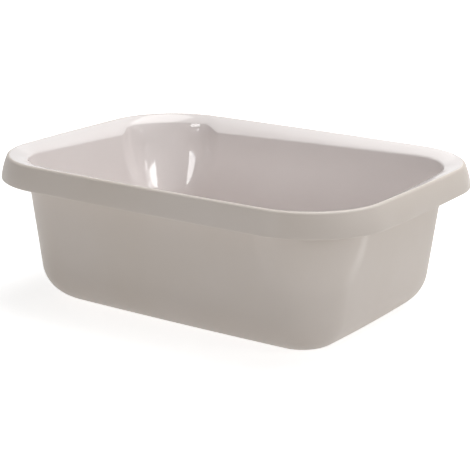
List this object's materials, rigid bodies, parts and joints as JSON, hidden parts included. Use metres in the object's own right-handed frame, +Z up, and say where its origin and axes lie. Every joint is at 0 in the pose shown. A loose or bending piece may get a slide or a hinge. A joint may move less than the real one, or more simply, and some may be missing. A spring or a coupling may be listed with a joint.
{
  "type": "rectangular bowl",
  "caption": "Rectangular plastic washing-up bowl with a sloping ledge rim, a turned-down skirt to grip and pouring spouts in opposite corners.",
  "frame": {"origin": "centre of the foot, on the surface that the bowl stands on", "axes": "+X along the bowl's long side, +Y across it, +Z up; the spouts lie at -X +Y and at +X -Y"},
  "size_m": [0.38, 0.282, 0.1336],
  "materials": {
    "plastic": "gloss inside, satin outside"
  },
  "bodies": {
    "root": {"bowl": "plastic"}
  },
  "joints": []
}
